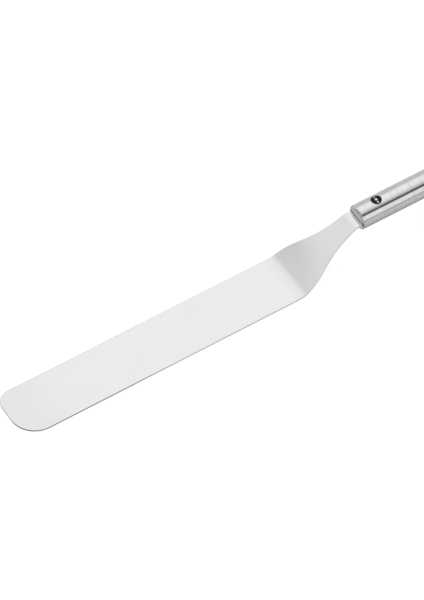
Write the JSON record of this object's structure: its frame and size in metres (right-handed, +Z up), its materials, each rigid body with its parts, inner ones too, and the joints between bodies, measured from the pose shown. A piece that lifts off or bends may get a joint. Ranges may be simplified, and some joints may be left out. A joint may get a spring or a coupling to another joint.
{
  "type": "offset spatula",
  "caption": "All-steel offset spatula: long flat cranked blade with rounded tip corners, narrowing to a tang in a slotted cap on a round hollow handle.",
  "frame": {"origin": "centre of the overall box in plan, on the plane that the flat blade rests on", "axes": "+X from the blade's tip to the handle's end, +Y across the blade towards the corner with the smaller radius, +Z up, from the flat blade towards the raised handle"},
  "size_m": [0.39, 0.0396, 0.0353],
  "materials": {
    "blade_steel": "satin stainless steel, fine grain along the blade, soft reflections",
    "handle_steel": "stainless steel, fine turned brushing around the handle, clear banded reflections",
    "cap_steel": "faced and polished stainless steel, smoother than the tube",
    "weld_metal": "stainless weld metal, as laid, matt"
  },
  "bodies": {
    "root": {"blade": "blade_steel", "front_cap": "cap_steel", "tang_weld_upper": "weld_metal", "tang_weld_lower": "weld_metal", "front_weld_ring": "handle_steel", "handle_tube": "handle_steel", "hanging_eyelet": "cap_steel", "rear_weld_ring": "handle_steel", "rear_cap": "handle_steel"}
  },
  "joints": []
}
